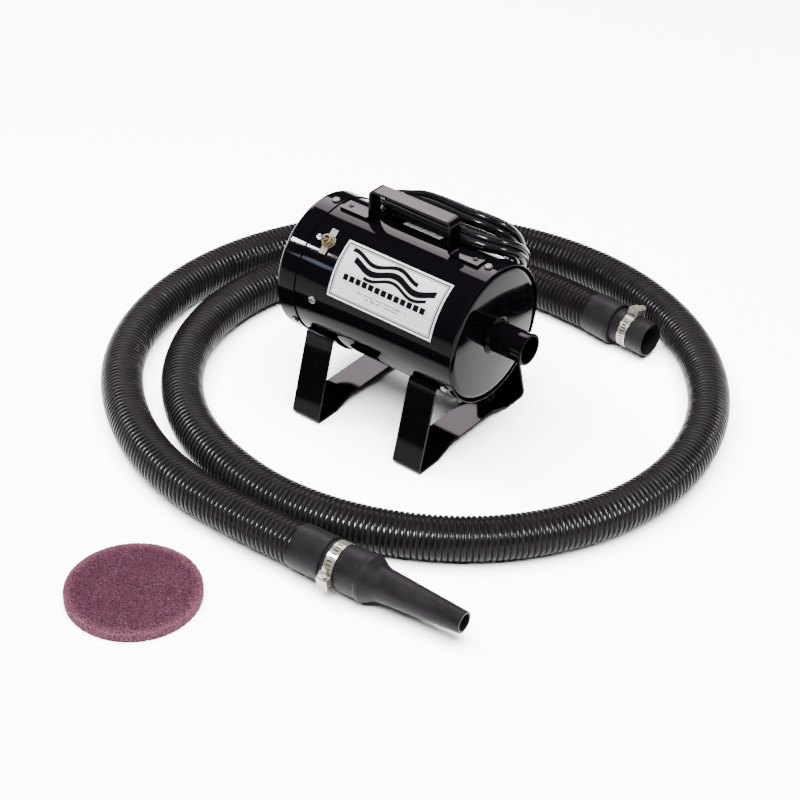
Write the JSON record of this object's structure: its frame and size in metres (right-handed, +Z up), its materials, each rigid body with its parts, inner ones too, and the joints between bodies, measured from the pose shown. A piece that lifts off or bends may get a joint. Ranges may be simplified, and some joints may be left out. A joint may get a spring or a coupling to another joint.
{
  "type": "pet dryer",
  "caption": "Barrel-shaped pet grooming blower on strap legs with carry handle, toggle switch, coiled power cord, and a loose ribbed hose with a tapered nozzle and a foam intake filter.",
  "frame": {"origin": "on the floor, under the middle of the box round the blower and its loose filter", "axes": "+X along the barrel toward the air outlet, +Y toward the side away from the switch, +Z up"},
  "size_m": [0.7286, 0.9091, 0.2735],
  "materials": {
    "black_enamel": "mirror gloss enamel",
    "dark_steel": "satin dark coat",
    "bright_screws": "bright zinc plate",
    "silver_label": "satin silver film",
    "white_label": "white film",
    "switch_steel": "stamped plate",
    "switch_brass": "plated brass",
    "switch_chrome": "polished",
    "black_moulding": "moulded",
    "rubber_part": "matt",
    "cast_alloy": "as pressed",
    "core_steel": "stacked sheets",
    "copper_wire": "varnished copper",
    "bearing_steel": "ground steel",
    "carbon": "pressed carbon",
    "wire_plastic": "smooth",
    "hose_plastic": "glossy ribbed",
    "cuff_rubber": "matt moulded",
    "clamp_steel": "bright stainless",
    "cord_plastic": "smooth",
    "foam": "open-cell foam"
  },
  "bodies": {
    "blower": {"barrel": "black_enamel", "front_cap": "black_enamel", "rear_cap": "black_enamel", "intake_guard": "dark_steel", "outlet_collar": "black_enamel", "outlet_tube": "black_enamel", "handle": "black_enamel", "handle_rivets": "black_enamel", "front_leg": "black_enamel", "rear_leg": "black_enamel", "leg_screws": "bright_screws", "front_cap_screws": "bright_screws", "rear_cap_screws": "bright_screws", "motor_mount_screws": "bright_screws", "front_label": "silver_label", "top_label": "white_label", "switch_plate": "switch_steel", "switch_nut": "switch_brass", "switch_bushing": "switch_brass", "switch_body": "black_moulding", "motor_mount_ring": "dark_steel", "motor_gasket": "rubber_part", "fan_shell": "dark_steel", "diffuser": "cast_alloy", "motor_bracket": "cast_alloy", "stator_core": "core_steel", "field_coils": "copper_wire", "bearings": "bearing_steel", "brush_holders": "switch_brass", "brushes": "carbon", "internal_wires": "wire_plastic", "cord_grip": "black_moulding", "cord_lead": "cord_plastic", "cord_hank": "cord_plastic", "cord_tie": "black_moulding", "cord_tail": "cord_plastic", "plug_body": "black_moulding", "plug_blades": "switch_brass"},
    "rotor": {"motor_shaft": "bearing_steel", "impeller": "cast_alloy", "impeller_nut": "bearing_steel", "armature_core": "core_steel", "armature_windings": "copper_wire", "commutator": "copper_wire"},
    "hose_set": {"hose_tube": "hose_plastic", "hose_cuff_machine": "cuff_rubber", "hose_sleeve": "cuff_rubber", "hose_cuff_nozzle": "cuff_rubber", "nozzle": "cuff_rubber", "clamp_band_machine": "clamp_steel", "clamp_housing_machine": "clamp_steel", "clamp_band_nozzle": "clamp_steel", "clamp_housing_nozzle": "clamp_steel"},
    "switch_lever": {"switch_lever": "switch_chrome"},
    "clamp_screw_machine": {"clamp_screw_machine": "clamp_steel"},
    "clamp_screw_nozzle": {"clamp_screw_nozzle": "clamp_steel"},
    "filter": {"foam_filter": "foam"}
  },
  "joints": [
    {"name": "rotor_spin", "type": "hinge", "parent": "blower", "child": "rotor", "pos_m": [-0.014, 0.21185, 0.15], "axis": [1, 0, 0], "continuous": true},
    {"name": "switch_lever_flip", "type": "hinge", "parent": "blower", "child": "switch_lever", "pos_m": [-0.0965, 0.1589, 0.21777], "axis": [-1, 0, 0], "range_deg": [0, 26]},
    {"name": "hose_lift", "type": "slide", "parent": "blower", "child": "hose_set", "axis": [0, 0, 1], "range_m": [0, 0.35]},
    {"name": "filter_lift", "type": "slide", "parent": "blower", "child": "filter", "axis": [0, 0, 1], "range_m": [0, 0.15]},
    {"name": "clamp_screw_machine_turn", "type": "hinge", "parent": "hose_set", "child": "clamp_screw_machine", "pos_m": [0.12139, 0.48663, 0.05268], "axis": [0.0842, 0.9623, -0.2588], "continuous": true},
    {"name": "clamp_screw_nozzle_turn", "type": "hinge", "parent": "hose_set", "child": "clamp_screw_nozzle", "pos_m": [0.13195, -0.12026, 0.02411], "axis": [0.0097, -0.1388, 0.9903], "continuous": true}
  ]
}
